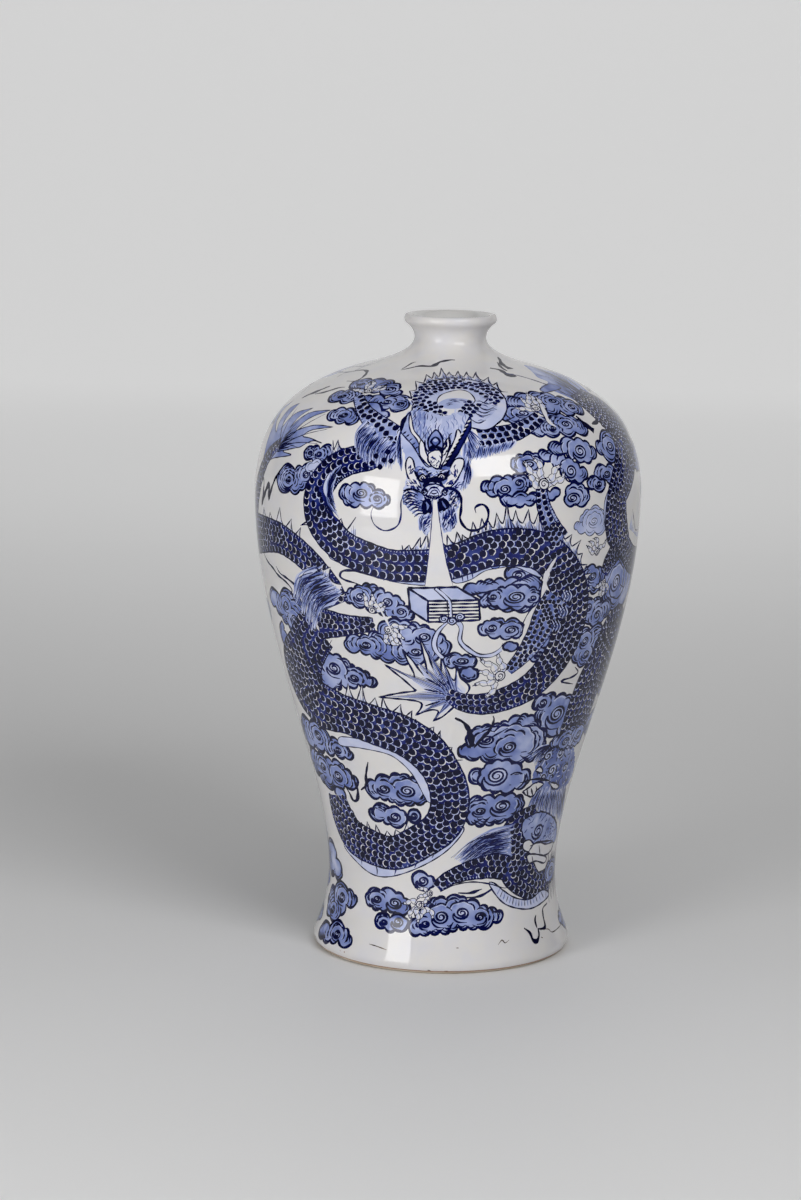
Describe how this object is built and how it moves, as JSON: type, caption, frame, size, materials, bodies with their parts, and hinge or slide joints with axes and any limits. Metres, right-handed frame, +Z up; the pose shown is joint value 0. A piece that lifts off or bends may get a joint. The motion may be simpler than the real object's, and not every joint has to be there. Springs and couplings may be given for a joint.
{
  "type": "meiping vase",
  "caption": "Tall high-shouldered porcelain vase with a short narrow neck, rolled lip, waisted lower body and flared foot, painted in cobalt blue under clear glaze.",
  "frame": {"origin": "centre of the foot ring, on the ground", "axes": "+Z up along the axis of the vase; the painted front faces -Y"},
  "size_m": [0.2528, 0.2528, 0.42],
  "materials": {
    "porcelain_clay": "fired porcelain clay, bare and matt where it shows at the foot ring",
    "luting_slip": "fired slip, matt",
    "painted_glaze": "clear gloss glaze over cobalt-blue painting on white porcelain",
    "clear_glaze": "clear gloss glaze over white porcelain"
  },
  "bodies": {
    "root": {"foot_section": "porcelain_clay", "base_disc": "porcelain_clay", "waist_section": "porcelain_clay", "belly_section": "porcelain_clay", "shoulder_section": "porcelain_clay", "mouth_and_neck": "porcelain_clay", "base_slip": "luting_slip", "foot_slip": "luting_slip", "waist_slip": "luting_slip", "belly_slip": "luting_slip", "neck_slip": "luting_slip", "outer_glaze": "painted_glaze", "inner_glaze": "clear_glaze", "foot_hollow_glaze": "clear_glaze"}
  },
  "joints": []
}
